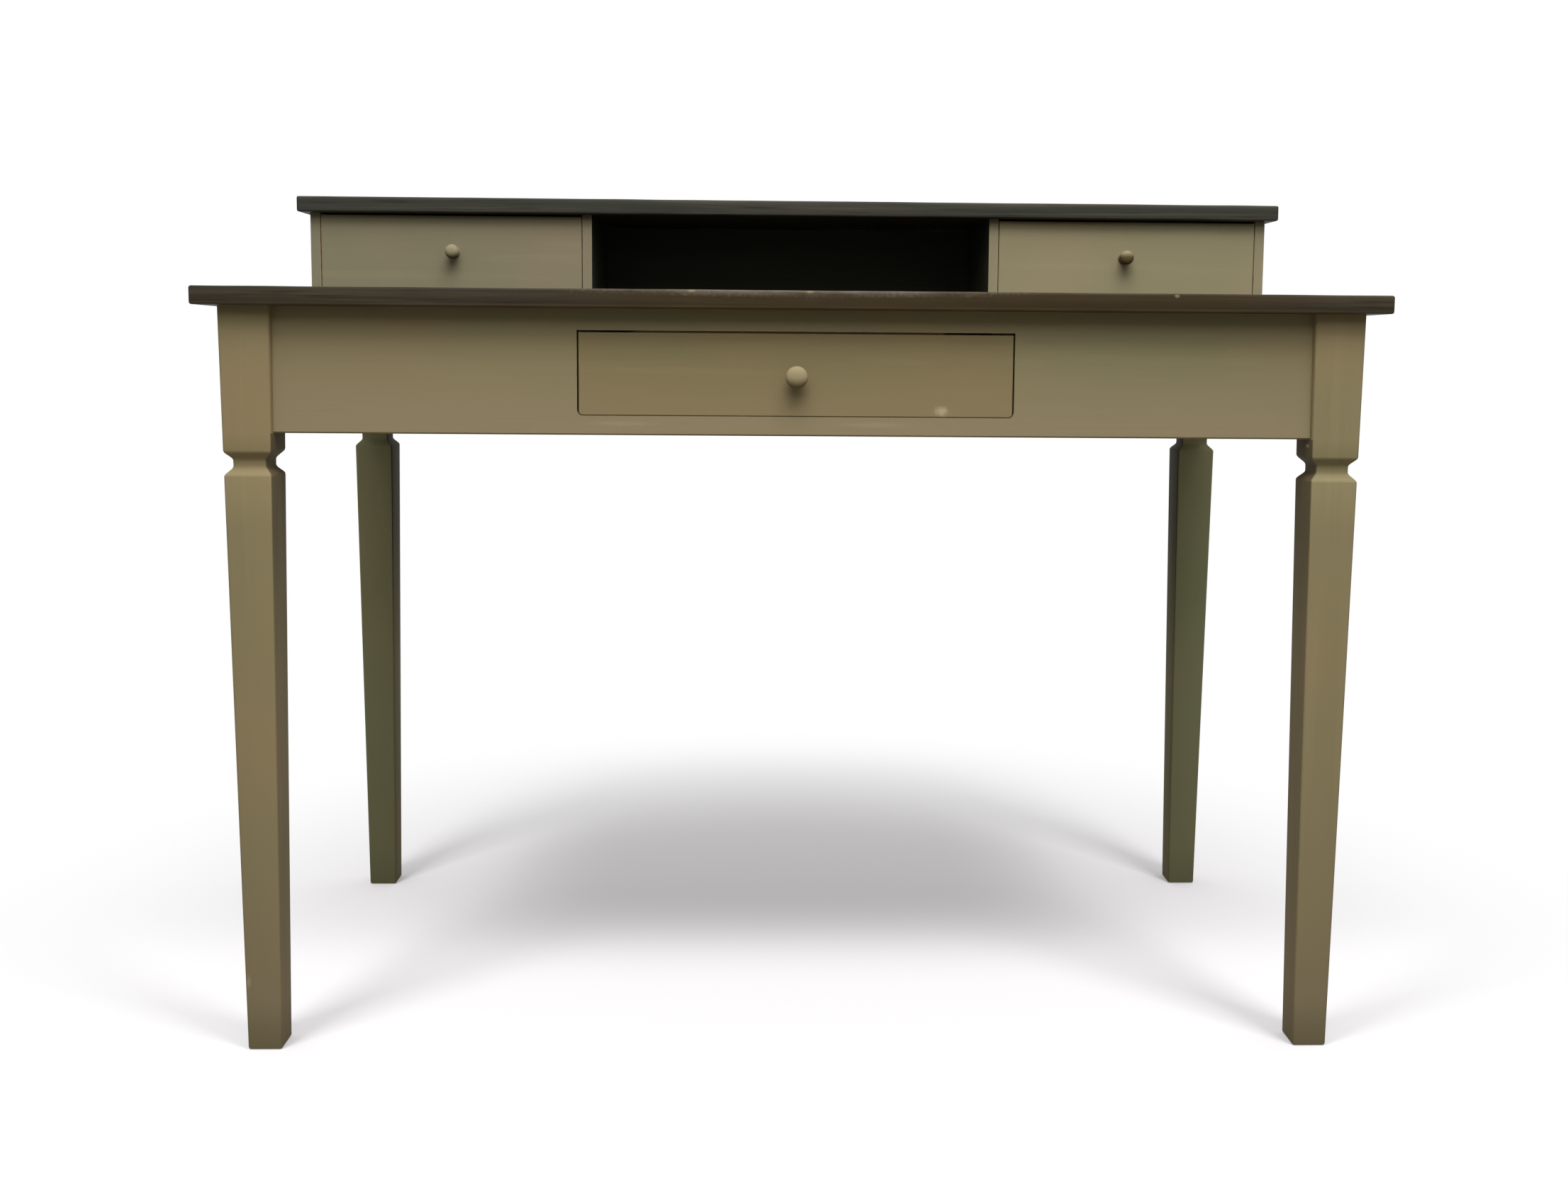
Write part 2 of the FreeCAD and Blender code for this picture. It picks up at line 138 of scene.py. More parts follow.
# Light: a soft dome, two lamps for the desk and two for the floor alone
SKY_HORIZON = 0.09
SKY_ZENITH = 0.93
KEY_PLACE = Vector((0.30, -1.3, 3.25))
KEY_SIZE = 2.0
KEY_WATTS = 69
FILL_PLACE = Vector((-0.10, -2.1, 2.55))
FILL_SIZE = 2.0
FILL_WATTS = 36
LAMP_TARGET = Vector((0, 0, 0.55))
FLOOR_LAMP_PLACES = {
    "left": Vector((-1.25, -1.40, 3.0)),
    "right": Vector((1.25, -1.40, 3.0)),
}
FLOOR_LAMP_SIZE = 0.75
FLOOR_LAMP_WATTS = 44

# Floor: its colours as seen and as it lights the desk, and how far from the middle of the desk
# it stays shaded before it is plain white
FLOOR_REACH = 12.0
FLOOR_CELLS = 8
FLOOR_DROP = 0.0005
FLOOR_PALE = (0.960, 0.940, 0.958)
FLOOR_BOUNCE = (0.21, 0.193, 0.163)
FLOOR_GLOW = 0.08
FLOOR_SHADED_TO = 0.42
FLOOR_WHITE_FROM = 1.12


def srgb(red, green, blue):
    """A colour from the bytes that a screen shows to the linear values that a shader takes."""
    linear = []
    for byte in (red, green, blue):
        share = byte / 255
        linear.append(share / 12.92 if share <= 0.04045 else ((share + 0.055) / 1.055) ** 2.4)
    return (*linear, 1.0)


# Colours
WHITE = (1.0, 1.0, 1.0, 1.0)
PAINT = srgb(142, 128, 95)
PAINT_GREEN = srgb(136, 127, 94)
PAINT_WARM = srgb(146, 129, 96)
PAINT_RUBBED = srgb(166, 153, 120)
PAINT_CHIP_AND_HIGHLIGHT = srgb(174, 162, 131)
PAINT_FOOT_SHADE = srgb(131, 120, 92)
PAINT_SHADE = srgb(112, 100, 72)
PAINT_PAINTED_LIGHT = srgb(147, 131, 101)
PAINT_DEEP_SHADE = srgb(76, 70, 50)
KNOB_SHADE = srgb(88, 74, 44)
KNOB_LIGHTER = srgb(164, 150, 118)
STAIN = srgb(45, 38, 27)
STAIN_BROWN = srgb(66, 52, 36)
STAIN_PORE = srgb(24, 20, 15)
STAIN_HANDLED = srgb(62, 48, 26)
STAIN_WORN_AND_LIT = srgb(104, 86, 60)
STAIN_RUBBED = srgb(97, 88, 75)
STAIN_CHIP = srgb(130, 113, 86)
INSIDE = srgb(41, 43, 30)
INSIDE_GRAIN = srgb(53, 54, 39)
PINE = srgb(205, 176, 132)
PINE_LINE = srgb(172, 134, 88)
PINE_FIBRE = srgb(222, 199, 160)
PLY = srgb(211, 186, 147)
PLY_LINE = srgb(188, 156, 113)
STEEL = srgb(158, 157, 153)
STEEL_DARK = srgb(116, 114, 110)

# How boards differ from the plain colour, as shares of red, green and blue
PLAIN = (1.0, 1.0, 1.0)
APRON_TINT = (0.97, 1.01, 1.04)
GALLERY_TINT = {"left": (0.88, 0.95, 1.15), "right": (1.03, 1.09, 1.28)}
# painted light: the rear legs' fronts, in the desk's shade, lighter and greener than their other
# faces
REAR_LEG_LIGHT_TINT = (1.12, 1.36, 1.42)
# painted shade: the legs' inner sides darker than their fronts
INNER_LEG_SHADE_TINT = {"front": (0.83, 0.83, 0.88), "rear": (0.66, 0.70, 0.65)}
DRAWER_TINT = {
    "centre_drawer": (0.92, 0.91, 0.87),
    "left_drawer": (0.90, 0.96, 1.14),
    "right_drawer": (1.07, 1.13, 1.26),
}
KNOB_TINT = {
    "centre_drawer": PLAIN,
    "left_drawer": (0.90, 0.95, 1.15),
    "right_drawer": (1.0, 1.05, 1.1),
}
DESK_STAIN_TINT = (1.22, 1.46, 1.75)
GALLERY_STAIN_TINT = (1.38, 1.95, 2.75)

# Painted light and shade, as (height where it starts, height where it is full, colour): the apron and
# centre drawer lighter towards their lower edge, the legs darker towards the feet and at the top of
# their inner sides, the knobs darker over their lower part. On a knob the heights are in radii from
# its middle.
# painted light: the apron and the centre drawer's front lighter towards their lower edge
APRON_PAINTED_LIGHT = (0.70, 0.622, PAINT_PAINTED_LIGHT)
# painted shade: the legs darker towards the feet
FOOT_PAINTED_SHADE = {"front": (0.32, 0.0, PAINT_FOOT_SHADE), "rear": (0.60, -0.20, PAINT_SHADE)}
# painted shade: the legs' inner sides darker towards their tops, under the aprons
INNER_PAINTED_SHADE = {"front": (0.36, 0.60, PAINT_SHADE), "rear": (0.28, 0.52, PAINT_DEEP_SHADE)}
# painted shade: the knobs darker over their lower part, the right knob over most of it
KNOB_PAINTED_SHADE = {
    "centre_drawer": (0.1, -0.9, PAINT_SHADE),
    "left_drawer": (0.1, -0.9, PAINT_SHADE),
    "right_drawer": (0.80, -0.10, KNOB_SHADE),
}

# How far handling has lightened each knob, and how much glossier than the desk it is
KNOB_HANDLED = {"centre_drawer": 0.5, "left_drawer": 0.35, "right_drawer": 0.1}
KNOB_GLOSS = 0.1

# Chips in the paint, pale patches at the upper edge of the drawer opening and a painted highlight
# along its lower edge, where the arris catches light, as (centre, half sizes, share: of the paint
# that is gone, and for a highlight how strong it is)
DRAWER_CHIP = ((Vector((0.1425, -0.258, 0.6485)), (0.0080, 0.006, 0.0062), 1.0),)
APRON_PATCHES_AND_HIGHLIGHTS = (
    # pale patches at the upper edge of the drawer opening
    (Vector((0.1450, -0.258, 0.7243)), (0.015, 0.004, 0.0020), 0.30),
    (Vector((0.1910, -0.258, 0.7243)), (0.008, 0.004, 0.0018), 0.18),
    # painted highlight: the lower edge of the drawer opening, lighter where its arris catches light
    (Vector((-0.170, -0.258, 0.6345)), (0.042, 0.004, 0.0030), 0.22),
    (Vector((0.0780, -0.258, 0.6345)), (0.042, 0.004, 0.0030), 0.22),
)
FOOT_CHIP = ((Vector((-0.5465, -0.2598, 0.071)), (0.0030, 0.006, 0.0080), 0.45),)
INNER_CHIP = ((Vector((0.5085, -0.2520, 0.6165)), (0.003, 0.0060, 0.0022), 1.0),)

# Each finish: its range of roughness, how much it reflects, the depth of its relief and, where
# its edges are rubbed, how wide they are
PAINT_ROUGHNESS = (0.52, 0.66)
PAINT_SPECULAR = 0.04
PAINT_RELIEF = 0.00012
PAINT_EDGE = 0.0022
STAIN_ROUGHNESS = (0.40, 0.56)
STAIN_SPECULAR = 0.07
STAIN_RELIEF = 0.00015
STAIN_EDGE = 0.003
INSIDE_ROUGHNESS = (0.60, 0.75)
INSIDE_SPECULAR = 0.2
INSIDE_RELIEF = 0.0001
BARE_ROUGHNESS = (0.62, 0.78)
BARE_SPECULAR = 0.3
BARE_RELIEF = 0.00012
STEEL_ROUGHNESS = (0.28, 0.46)

# The part of a noise's range that a sheen follows, how far a rounded normal turns from the plain
# one at a rubbed edge, and the rim of a ragged spot in shares of its half sizes
SHEEN_SPAN = (0.2, 0.8)
EDGE_TURN = (0.985, 0.80)
EDGE_SAMPLES = 4
SPOT_RIM = (1.15, 0.2)
SPOT_RAGGED = 0.9
SPOT_FINENESS = 1.6

# Wear on the desk top's front edge: the browner handled stretch and the rubbed strip under the upper
# arris; painted light on the lower arris, which faces down into shade; and chips as (x, z, half
# length, depth)
HANDLED_STRETCH = (-0.32, 0.56)
HANDLED_FADE = (0.25, 0.20)
HANDLED_DEPTH = 0.30
HANDLED_SHARE = 0.6
WORN_STRIP = (-0.235, 0.225)
WORN_STRIP_DROP = 0.0010
WORN_STRIP_REACH = 0.006
LOWER_ARRIS_HEIGHTS = (0.004, 0.001)
LOWER_ARRIS_DEPTHS = (0.006, 0.002)
LOWER_ARRIS_SHARE = 0.4
EDGE_CHIPS = (
    (-0.101, 0.7630, 0.0045, 0.0012),
    (0.012, 0.7630, 0.0050, 0.0011),
    (0.365, 0.7615, 0.0030, 0.0010),
)
EDGE_CHIP_REACH = 0.004

# Uneven rubbing of the tops' arrises: depth, features a metre along x and y, and a place in the
# noise for each top
ARRIS_WEAR = 0.0005
ARRIS_WEAR_SCALE = (18, 40)
DESK_WEAR_SEED = 1.7
GALLERY_WEAR_SEED = 5.2

DRAWERS = ("centre_drawer", "left_drawer", "right_drawer")
SIDES = ("left", "right")


def feed(tree, socket, value):
    """Link a socket to a socket, or set it to a value."""
    if isinstance(value, bpy.types.NodeSocket):
        tree.links.new(value, socket)
    else:
        socket.default_value = value


def add_node(tree, kind, inputs=None, **settings):
    """Add a node, make its settings and feed its inputs with values or sockets."""
    made = tree.nodes.new(kind)
    for name, value in settings.items():
        setattr(made, name, value)
    for key, value in (inputs or {}).items():
        feed(tree, made.inputs[key], value)
    return made


class Look:
    """A material being put together from nodes."""

    def __init__(self, name):
        self.material = bpy.data.materials.new(name)
        self.material.use_nodes = True
        self.tree = self.material.node_tree
        self.shader = self.tree.nodes["Principled BSDF"]
        self.place = self.node("ShaderNodeTexCoord").outputs["Object"]

    def node(self, kind, inputs=None, **settings):
        return add_node(self.tree, kind, inputs, **settings)

    def set(self, **values):
        """Feed the main shader, with underscores for the spaces in its socket names."""
        for name, value in values.items():
            feed(self.tree, self.shader.inputs[name.replace("_", " ")], value)

    def math(self, operation, a, b=0.0):
        return self.node("ShaderNodeMath", {0: a, 1: b}, operation=operation).outputs[0]

    def vector(self, operation, a, b=(0.0, 0.0, 0.0)):
        return self.node("ShaderNodeVectorMath", {0: a, 1: b}, operation=operation)

    def split(self):
        """The x, y and z of a place on the surface."""
        return self.node("ShaderNodeSeparateXYZ", {0: self.place}).outputs

    def noise(self, scale, detail=2.0, roughness=0.5, distortion=0.0):
        """Noise about 0.5, with its own number of features a metre along each axis."""
        stretched = self.vector("MULTIPLY", self.place, scale).outputs["Vector"]
        inputs = {"Vector": stretched, "Scale": 1.0, "Detail": detail}
        inputs.update({"Roughness": roughness, "Distortion": distortion})
        return self.node("ShaderNodeTexNoise", inputs).outputs[0]

    def span(self, value, low, high, out_low=0.0, out_high=1.0):
        """A smooth step from one value to another."""
        inputs = {"Value": value, "From Min": low, "From Max": high}
        inputs.update({"To Min": out_low, "To Max": out_high})
        return self.node("ShaderNodeMapRange", inputs, interpolation_type="SMOOTHSTEP").outputs[0]

    def mix(self, share, a, b):
        return self.node("ShaderNodeMix", {0: share, 6: a, 7: b}, data_type="RGBA").outputs[2]

    def edges(self, radius):
        """1 along the edges of the shape, falling to 0 a radius away."""
        rounded = self.node("ShaderNodeBevel", {"Radius": radius}, samples=EDGE_SAMPLES).outputs[0]
        plain = self.node("ShaderNodeNewGeometry").outputs["Normal"]
        facing = self.vector("DOT_PRODUCT", rounded, plain).outputs["Value"]
        return self.span(facing, *EDGE_TURN)

    def spot(self, centre, half_sizes):
        """A ragged patch round a point: 1 inside, 0 outside."""
        offset = self.vector("SUBTRACT", self.place, centre).outputs["Vector"]
        scaled = self.vector("DIVIDE", offset, half_sizes).outputs["Vector"]
        distance = self.vector("LENGTH", scaled).outputs["Value"]
        fine = SPOT_FINENESS / min(half_sizes)
        wander = self.math("MULTIPLY", self.noise((fine, fine, fine)), SPOT_RAGGED)
        rim = (share + SPOT_RAGGED / 2 for share in SPOT_RIM)
        return self.span(self.math("ADD", distance, wander), *rim)

    def sheen(self, pattern, roughness):
        """A roughness between two values, as a pattern goes."""
        self.set(Roughness=self.span(pattern, *SHEEN_SPAN, *roughness))

    def bump(self, height, depth):
        """Relief whose full height is a depth in metres."""
        made = self.node("ShaderNodeBump", {"Height": height, "Distance": depth, "Strength": 1.0})
        self.set(Normal=made.outputs[0])


def along(axis, lengthwise, across):
    """Features a metre for a pattern that runs along one axis."""
    return tuple(lengthwise if name == axis else across for name in "xyz")


def tinted(colour, tint):
    """A colour as one board shows it, where boards differ a little."""
    return (*(part * share for part, share in zip(colour, tint)), 1.0)


def painted(name, axis, chips=(), gloss=0.0, handled=0.0, tint=PLAIN, painted_shading=None):
    """Brushed eggshell paint on wood, rubbed at its edges.

    Given two heights and a colour, the paint turns to that colour between them: painted light and
    shade.
    """
    look = Look(name)
    green, warm, paint = (tinted(colour, tint) for colour in (PAINT_GREEN, PAINT_WARM, PAINT))
    strokes = look.noise(along(axis, 5, 240), detail=4, roughness=0.6)
    grain = look.noise(along(axis, 2.5, 60), detail=3, distortion=0.4)
    cloud = look.noise((4, 4, 4), detail=3)
    tone = look.mix(look.span(cloud, 0.35, 0.65), green, warm)
    tone = look.mix(look.span(strokes, 0.3, 0.75, 0.0, 0.55), tone, paint)
    tone = look.mix(look.span(grain, 0.52, 0.7, 0.0, 0.10), tone, PAINT_RUBBED)
    patchy = look.span(look.noise((38, 38, 38), detail=3), 0.38, 0.66)
    rubbed = look.math("MULTIPLY", look.edges(PAINT_EDGE), patchy)
    tone = look.mix(look.math("MULTIPLY", rubbed, 0.55), tone, PAINT_RUBBED)
    if handled:
        tone = look.mix(handled, tone, KNOB_LIGHTER)
    # painted light and shade: lighter or darker between two heights
    if painted_shading:
        start, full, colour = painted_shading
        tone = look.mix(look.span(look.split()["Z"], start, full), tone, tinted(colour, tint))
    # pale spots: chips and patches, and painted highlights where they are given
    for centre, half_sizes, share in chips:
        pale_mark = look.math("MULTIPLY", look.spot(centre, half_sizes), share)
        tone = look.mix(pale_mark, tone, PAINT_CHIP_AND_HIGHLIGHT)
    look.set(Base_Color=tone)
    look.sheen(strokes, [rough - gloss for rough in PAINT_ROUGHNESS])
    look.set(Specular_IOR_Level=PAINT_SPECULAR)
    look.bump(look.math("ADD", strokes, look.math("MULTIPLY", grain, 0.7)), PAINT_RELIEF)
    return look.material


def stained(name, axis, tint=PLAIN, worn=False):
    """Dark stain and satin varnish over open grain, worn lighter along its edges."""
    look = Look(name)
    stain, brown, pore = (tinted(colour, tint) for colour in (STAIN, STAIN_BROWN, STAIN_PORE))
    grain = look.noise(along(axis, 2.2, 90), detail=5, roughness=0.62, distortion=0.5)
    pores = look.noise(along(axis, 14, 620), detail=2)
    tone = look.mix(look.span(grain, 0.38, 0.72), stain, brown)
    tone = look.mix(look.span(pores, 0.52, 0.75, 0.0, 0.6), tone, pore)
    patchy = look.span(look.noise((26, 26, 26), detail=4), 0.45, 0.68)
    rubbed = look.math("MULTIPLY", look.edges(STAIN_EDGE), patchy)
    tone = look.mix(look.math("MULTIPLY", rubbed, 0.7), tone, STAIN_WORN_AND_LIT)
    # the front edge's wear, with painted light on its lower arris
    if worn:
        tone = worn_and_lit_front(look, tone)
    look.set(Base_Color=tone)
    look.sheen(grain, STAIN_ROUGHNESS)
    look.set(Specular_IOR_Level=STAIN_SPECULAR)
    look.bump(look.math("SUBTRACT", grain, look.math("MULTIPLY", pores, 0.5)), STAIN_RELIEF)
    return look.material


def worn_and_lit_front(look, tone):
    """The handled stretch, rubbed strip and chips of the front edge, and painted light on the lower
    arris.
    """
    low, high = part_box("desk_top")
    place = look.split()

    first, last = HANDLED_STRETCH
    handled = look.math(
        "MULTIPLY",
        look.span(place["X"], first, first + HANDLED_FADE[0]),
        look.span(place["X"], last, last - HANDLED_FADE[1]),
    )
    near_front = look.span(place["Y"], low.y + HANDLED_DEPTH, low.y)
    handled = look.math("MULTIPLY", handled, near_front)
    tone = look.mix(look.math("MULTIPLY", handled, HANDLED_SHARE), tone, STAIN_HANDLED)

    start, end = WORN_STRIP
    middle = Vector(((start + end) / 2, low.y, high.z - WORN_STRIP_DROP))
    reach = ((end - start) / 2, WORN_STRIP_REACH, WORN_STRIP_REACH)
    streak = look.span(look.noise((16, 60, 120), detail=4), 0.36, 0.60, 0.25, 1.0)
    strip = look.math("MULTIPLY", look.spot(middle, reach), streak)
    tone = look.mix(strip, tone, STAIN_RUBBED)

    # painted light: the lower arris lighter, against the shade it faces down into
    lower = look.math(
        "MULTIPLY",
        look.span(place["Z"], *(low.z + height for height in LOWER_ARRIS_HEIGHTS)),
        look.span(place["Y"], *(low.y + depth for depth in LOWER_ARRIS_DEPTHS)),
    )
    tone = look.mix(look.math("MULTIPLY", lower, LOWER_ARRIS_SHARE), tone, STAIN_WORN_AND_LIT)

    for x, z, half_length, depth in EDGE_CHIPS:
        half_sizes = (half_length, EDGE_CHIP_REACH, depth * 2)
        tone = look.mix(look.spot(Vector((x, low.y, z)), half_sizes), tone, STAIN_CHIP)
    return tone


def dark_inside():
    """A nearly black finish with faint grain inside the open compartment."""
    look = Look("dark_inside")
    grain = look.noise((3, 60, 60), detail=4, distortion=0.4)
    look.set(Base_Color=look.mix(look.span(grain, 0.35, 0.7), INSIDE, INSIDE_GRAIN))
    look.sheen(grain, INSIDE_ROUGHNESS)
    look.set(Specular_IOR_Level=INSIDE_SPECULAR)
    look.bump(grain, INSIDE_RELIEF)
    return look.material


def bare(name, axis, base, line, fibre, lines):
    """Plain planed wood: the grain lines are the contours of a stretched noise."""
    look = Look(name)
    field = look.noise(along(axis, 0.9, 9), detail=2, distortion=0.3)
    wave = look.math("SINE", look.math("MULTIPLY", field, lines))
    fibres = look.noise(along(axis, 12, 700), detail=3)
    tone = look.mix(look.span(wave, -0.2, 1.0, 0.0, 0.8), base, line)
    tone = look.mix(look.span(fibres, 0.4, 0.75, 0.0, 0.5), tone, fibre)
    look.set(Base_Color=tone)
    look.sheen(fibres, BARE_ROUGHNESS)
    look.set(Specular_IOR_Level=BARE_SPECULAR)
    look.bump(look.math("ADD", fibres, look.math("MULTIPLY", wave, 0.2)), BARE_RELIEF)
    return look.material


def steel():
    """Zinc-plated steel with a fine brushed haze."""
    look = Look("plated_steel")
    haze = look.noise((900, 900, 900), detail=3)
    look.set(Base_Color=look.mix(look.span(haze, 0.3, 0.7), STEEL_DARK, STEEL))
    look.sheen(haze, STEEL_ROUGHNESS)
    look.set(Metallic=1.0)
    return look.material


# The finishes
paint_along = {axis: painted("paint_along_" + axis, axis) for axis in "xy"}
# painted light: lighter towards the apron's lower edge, and a painted highlight under the drawer
# opening
paint_apron = painted("paint_front_apron", "x", APRON_PATCHES_AND_HIGHLIGHTS, tint=APRON_TINT, painted_shading=APRON_PAINTED_LIGHT)
paint_gallery = {
    side: painted("paint_gallery_" + side, "y", tint=GALLERY_TINT[side]) for side in SIDES
}
# painted shade: the legs darker towards the feet
paint_leg = painted("paint_legs", "z", FOOT_CHIP, painted_shading=FOOT_PAINTED_SHADE["front"])
# painted light on the rear legs' fronts, with painted shade towards the feet
paint_rear_leg_front_lit = painted("paint_rear_legs_front_lit", "z", tint=REAR_LEG_LIGHT_TINT, painted_shading=FOOT_PAINTED_SHADE["rear"])
# painted shade on the legs' inner sides
paint_leg_inner_shade = {
    end: painted(
        f"paint_{end}_legs_inner_shade", "z", chips, tint=INNER_LEG_SHADE_TINT[end], painted_shading=INNER_PAINTED_SHADE[end]
    )
    for end, chips in (("front", INNER_CHIP), ("rear", ()))
}
# painted light: the centre drawer's front lighter towards its lower edge
paint_drawer = {
    drawer: painted("paint_" + drawer, "x", chips, tint=DRAWER_TINT[drawer], painted_shading=painted_shading)
    for drawer, chips, painted_shading in (
        ("centre_drawer", DRAWER_CHIP, APRON_PAINTED_LIGHT),
        ("left_drawer", (), None),
        ("right_drawer", (), None),
    )
}
stain_desk = stained("stain_desk_top", "x", tint=DESK_STAIN_TINT, worn=True)
stain_gallery = stained("stain_gallery", "x", tint=GALLERY_STAIN_TINT)
inside = dark_inside()
pine_along = {
    axis: bare("pine_along_" + axis, axis, PINE, PINE_LINE, PINE_FIBRE, lines=75) for axis in "xyz"
}
plywood = bare("birch_ply", "x", PLY, PLY_LINE, PINE_FIBRE, lines=40)
plated = steel()


def dress(node, look, *facings):
    """Give a solid its finish, and faces that look along (axis, sign) a finish of their own."""
    mesh = nodes[node].data
    mesh.materials.clear()
    mesh.materials.append(look)
    for axis, sign, other in facings:
        mesh.materials.append(other)
        index = len(mesh.materials) - 1
        for face in mesh.polygons:
            if face.normal["xyz".index(axis)] * sign > FACING:
                face.material_index = index


def dress_solids():
    """Paint outside, bare wood inside, stain on the gallery's back and a nearly black finish in the
    compartment.
    """
    dress("front_apron", paint_apron, ("y", 1, pine_along["x"]))
    dress("rear_apron", paint_along["x"], ("y", -1, pine_along["x"]))
    for side, inward in (("left", 1), ("right", -1)):
        dress("side_apron_" + side, paint_along["y"], ("x", inward, pine_along["y"]))
        dress("gallery_side_" + side, paint_gallery[side], ("x", inward, pine_along["y"]))
        dress(
            "gallery_partition_" + side,
            paint_gallery[side],
            ("x", inward, inside),
            ("x", -inward, pine_along["y"]),
        )
        for part in ("runner_", "guide_", "kicker_", "stop_"):
            dress(part + side, pine_along["y"])
        for end in ("front_", "rear_"):
            dress("corner_block_" + end + side, pine_along["x"])
    dress("gallery_bottom", inside)
    dress("gallery_back", stain_gallery, ("y", -1, inside))
    dress("gallery_dowels", pine_along["z"])
    for drawer in DRAWERS:
        dress(drawer + "_front", paint_drawer[drawer], ("y", 1, pine_along["x"]))
        dress(drawer + "_back", pine_along["x"])
        dress(drawer + "_bottom", plywood)
        for side in SIDES:
            dress(drawer + "_side_" + side, pine_along["y"])


def add_object(name, data):
    """Add an object to the scene."""
    made = bpy.data.objects.new(name, data)
    bpy.context.scene.collection.objects.link(made)
    return made


def show(name, shape, look, node):
    """Turn a built mesh into a piece that stands for a node and moves with the node's body."""
    bmesh.ops.recalc_face_normals(shape, faces=shape.faces)
    mesh = bpy.data.meshes.new(name)
    shape.to_mesh(mesh)
    shape.free()
    mesh.materials.append(look)
    mesh.shade_smooth()
    mesh.set_sharp_from_angle(angle=SHARP_ANGLE)
    piece = add_object(name, mesh)
    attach(piece, nodes[node]["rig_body"])
    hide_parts(node)
    return piece


def loft(rings, shape=None):
    """Skin between rings of points that have the same count, closed at both ends."""
    shape = shape or bmesh.new()
    rows = [[shape.verts.new(point) for point in ring] for ring in rings]
    count = len(rows[0])
    for low, high in zip(rows, rows[1:]):
        for i in range(count):
            j = (i + 1) % count
            shape.faces.new((low[i], low[j], high[j], high[i]))
    shape.faces.new(rows[0])
    shape.faces.new(rows[-1])
    return shape


def rounded_board(low, high):
    """A board with rounded edges, cut across often enough to carry wear along them."""
    shape = bmesh.new()
    size = Matrix.Diagonal((*(high - low), 1.0))
    bmesh.ops.create_cube(shape, size=1.0, matrix=Matrix.Translation((low + high) / 2) @ size)
    bmesh.ops.bevel(
        shape,
        geom=shape.edges[:],
        offset=TOP_ROUND,
        segments=ROUND_STEPS,
        profile=0.5,
        affect="EDGES",
    )
    for i in range(1, TOP_STATIONS):
        x = low.x + (high.x - low.x) * i / TOP_STATIONS
        everything = shape.verts[:] + shape.edges[:] + shape.faces[:]
        bmesh.ops.bisect_plane(shape, geom=everything, plane_co=(x, 0, 0), plane_no=(1, 0, 0))
    return shape


def wear_arrises(shape, low, high, seed):
    """Rub the front and back arrises down a little, unevenly along their length."""
    middle = (low + high) / 2
    x_scale, y_scale = ARRIS_WEAR_SCALE
    for vert in shape.verts:
        from_edge = min(vert.co.y - low.y, high.y - vert.co.y)
        from_face = min(vert.co.z - low.z, high.z - vert.co.z)
        corner = max(0.0, 1.0 - (from_edge + from_face) / (2 * TOP_ROUND))
        rub = 0.5 + noise.noise(Vector((vert.co.x * x_scale, seed, vert.co.y * y_scale)))
        y_inward = math.copysign(1, middle.y - vert.co.y)
        z_inward = math.copysign(1, middle.z - vert.co.z)
        vert.co += Vector((0, y_inward, z_inward)) * (ARRIS_WEAR * corner * max(0.0, rub))


def chip_edge(shape, low):
    """Press the chips into the front edge."""
    for vert in shape.verts:
        if vert.co.y > low.y + 2 * TOP_ROUND:
            continue
        for x, z, half_length, depth in EDGE_CHIPS:
            away = math.hypot((vert.co.x - x) / half_length, (vert.co.z - z) / (3 * depth))
            vert.co.y += depth * max(0.0, 1.0 - away * away)


def build_tops():
    """The two tops, rounded and worn, and the chips in the desk top's front edge."""
    low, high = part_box("desk_top")
    board = rounded_board(low, high)
    wear_arrises(board, low, high, DESK_WEAR_SEED)
    chip_edge(board, low)
    show("desk_top_rounded", board, stain_desk, "desk_top")
    low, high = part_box("gallery_top")
    board = rounded_board(low, high)
    wear_arrises(board, low, high, GALLERY_WEAR_SEED)
    show("gallery_top_rounded", board, stain_gallery, "gallery_top")


def rounded_square(half, radius, centre):
    """The outline of a square with round corners, at the centre's height."""
    flat = half - radius
    points = []
    for turn in range(4):
        for step in range(ROUND_STEPS + 1):
            angle = math.pi / 2 * (turn + step / ROUND_STEPS)
            corner = Matrix.Rotation(math.pi / 2 * turn, 3, "Z") @ Vector((flat, flat, 0))
            arc = Vector((math.cos(angle), math.sin(angle), 0)) * radius
            points.append(centre + corner + arc)
    return points


def leg_half(z, height):
    """Half the width of a leg's plain taper at a height."""
    return (LEG_FOOT_WIDTH + (LEG_TOP_WIDTH - LEG_FOOT_WIDTH) * z / height) / 2


